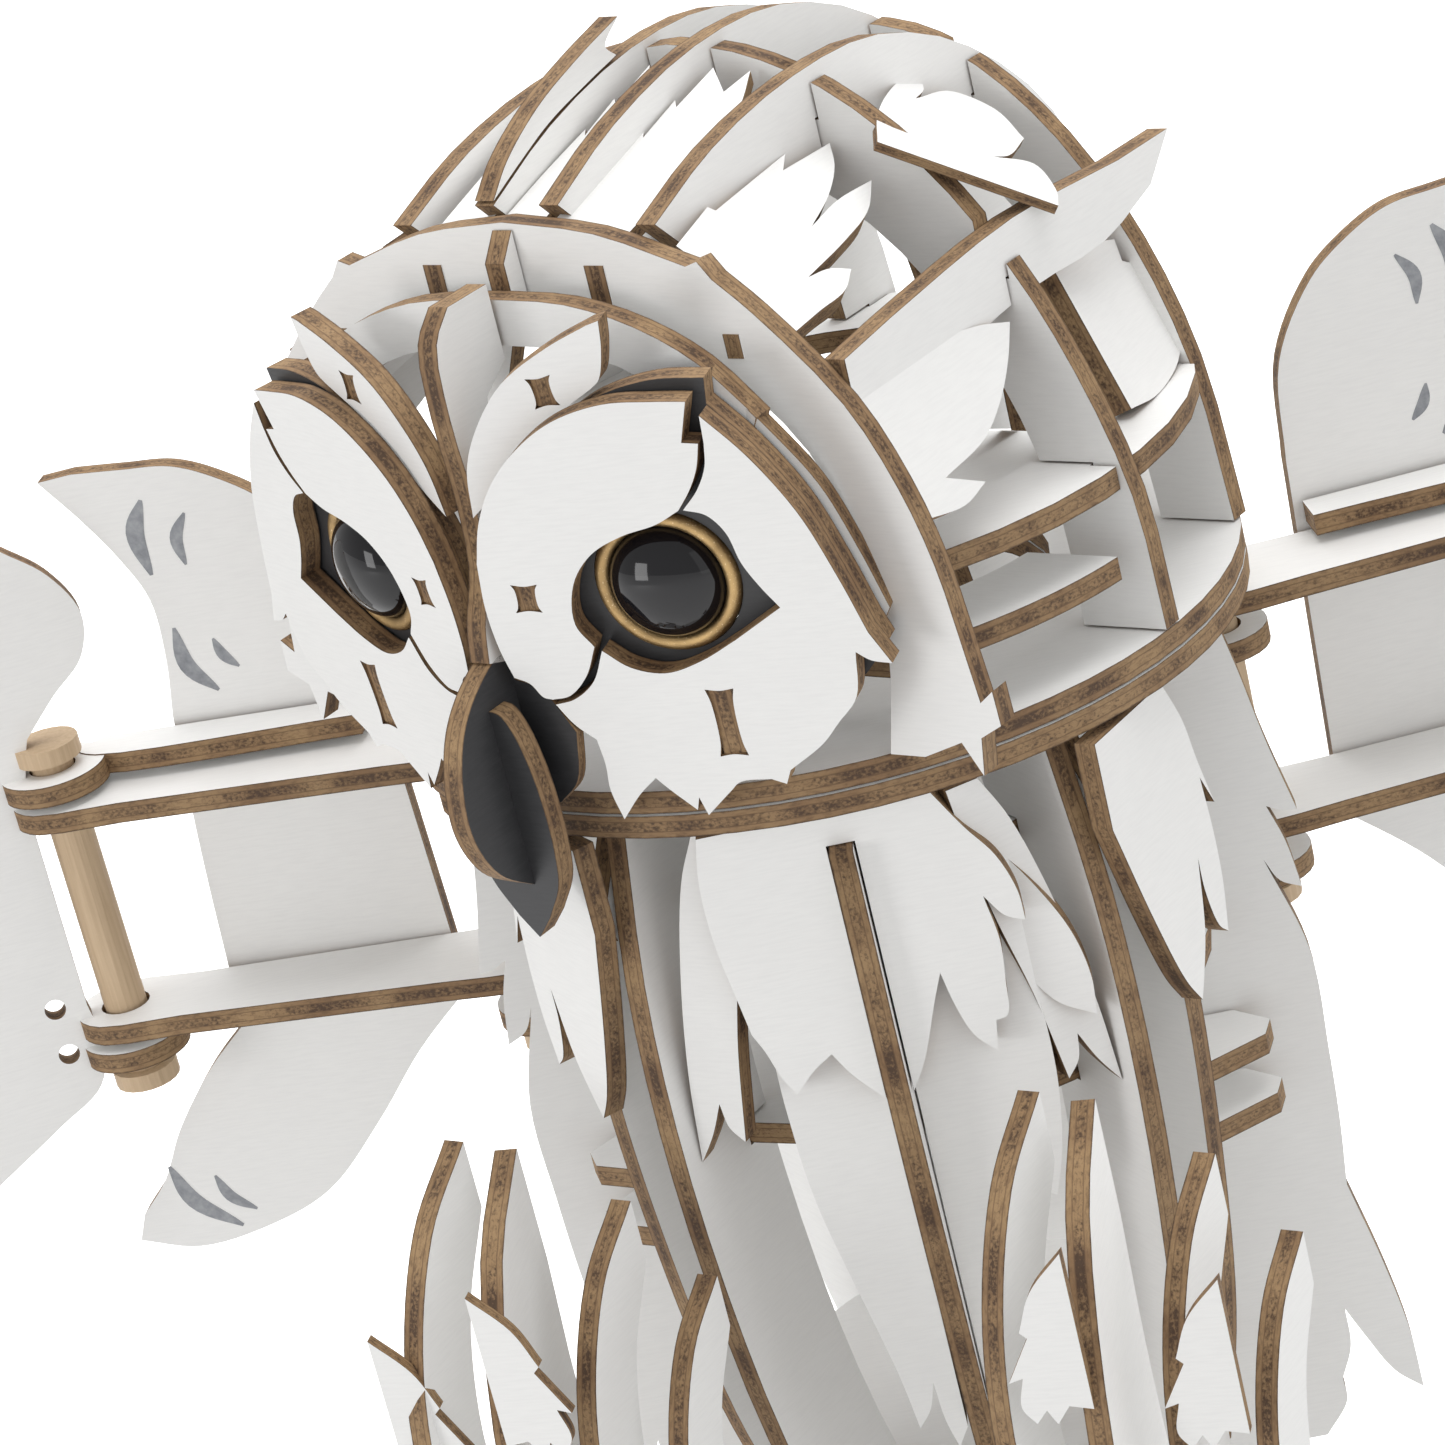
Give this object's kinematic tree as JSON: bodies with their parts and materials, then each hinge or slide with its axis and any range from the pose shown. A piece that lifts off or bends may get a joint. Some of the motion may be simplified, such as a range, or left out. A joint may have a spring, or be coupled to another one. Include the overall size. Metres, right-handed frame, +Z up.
{
  "type": "owl puppet",
  "caption": "White laser-cut plywood owl puppet with a turning head, sweeping jointed wings, ribbed body, legs, tail and round base.",
  "frame": {"origin": "on the underside of the round base, on the upright axis that the head turns about", "axes": "the owl's torso faces -Y, +X is the viewer's right and lies along the wings, +Z is up"},
  "size_m": [0.3942, 0.1859, 0.2618],
  "materials": {
    "white_ply": "white printed face with fine grain, scorched brown laser-cut edges",
    "black_ply": "black printed face, scorched brown edges",
    "brass_ring": "fine sparkling antique brass",
    "eye_gloss": "polished black dome",
    "dowel": "turned wood dowel with white caps"
  },
  "bodies": {
    "body": {"base_plate": "white_ply", "neck_ring_lower": "white_ply", "keel_plate": "white_ply", "deck_upper": "white_ply", "deck_middle": "white_ply", "deck_lower": "white_ply", "bib_upper": "white_ply", "bib_lower": "white_ply", "tail_plate": "white_ply", "flank_rib_left": "white_ply", "flank_rib_right": "white_ply", "side_rib_left": "white_ply", "side_rib_right": "white_ply", "back_rib_left": "white_ply", "back_rib_right": "white_ply", "shoulder_pin_left": "dowel", "shoulder_pin_right": "dowel", "leg_plate_left": "white_ply", "leg_plate_right": "white_ply", "thigh_rib_inner_left": "white_ply", "thigh_rib_inner_right": "white_ply", "thigh_rib_outer_left": "white_ply", "thigh_rib_outer_right": "white_ply"},
    "head": {"neck_ring_upper": "white_ply", "neck_bearing_ring": "white_ply", "crown_arch": "white_ply", "head_cross_plate": "white_ply", "head_rear_plate": "white_ply", "head_deck": "white_ply", "forehead_plate": "white_ply", "nose_ridge": "white_ply", "beak_hook": "black_ply", "crown_rib_inner_left": "white_ply", "crown_rib_inner_right": "white_ply", "crown_rib_middle_left": "white_ply", "crown_rib_middle_right": "white_ply", "crown_rib_outer_left": "white_ply", "crown_rib_outer_right": "white_ply", "face_disc_left": "white_ply", "face_disc_right": "white_ply", "face_backing_left": "black_ply", "face_backing_right": "black_ply", "brow_plate_left": "white_ply", "brow_plate_right": "white_ply", "eye_ring_left": "brass_ring", "eye_ring_right": "brass_ring", "eye_dome_left": "eye_gloss", "eye_dome_right": "eye_gloss", "beak_cheek_left": "black_ply", "beak_cheek_right": "black_ply"},
    "wing_left": {"wing_arm_upper_left": "white_ply", "wing_arm_lower_left": "white_ply", "wing_cover_left": "white_ply"},
    "wing_right": {"wing_arm_upper_right": "white_ply", "wing_arm_lower_right": "white_ply", "wing_cover_right": "white_ply"},
    "outer_wing_left": {"outer_wing_left": "white_ply", "wrist_pin_left": "dowel"},
    "outer_wing_right": {"outer_wing_right": "white_ply", "wrist_pin_right": "dowel"}
  },
  "joints": [
    {"name": "head_turn", "type": "hinge", "parent": "body", "child": "head", "pos_m": [0, 0, 0.182], "axis": [0, 0, 1], "range_deg": [-25, 95]},
    {"name": "wing_sweep_left", "type": "hinge", "parent": "body", "child": "wing_left", "pos_m": [-0.05, 0.014, 0.147], "axis": [0, 0, -1], "range_deg": [-30, 30]},
    {"name": "wrist_fold_left", "type": "hinge", "parent": "wing_left", "child": "outer_wing_left", "pos_m": [-0.10942, 0.02235, 0.15], "axis": [0, 0, -1], "range_deg": [-24, 24]},
    {"name": "wing_sweep_right", "type": "hinge", "parent": "body", "child": "wing_right", "pos_m": [0.05, 0.014, 0.147], "axis": [0, 0, 1], "range_deg": [-30, 30]},
    {"name": "wrist_fold_right", "type": "hinge", "parent": "wing_right", "child": "outer_wing_right", "pos_m": [0.10942, 0.02235, 0.15], "axis": [0, 0, 1], "range_deg": [-24, 24]}
  ],
  "couplings": [
    {"joint": "wrist_fold_left", "follows": "wing_sweep_left", "ratio": -0.8},
    {"joint": "wrist_fold_right", "follows": "wing_sweep_right", "ratio": -0.8}
  ]
}
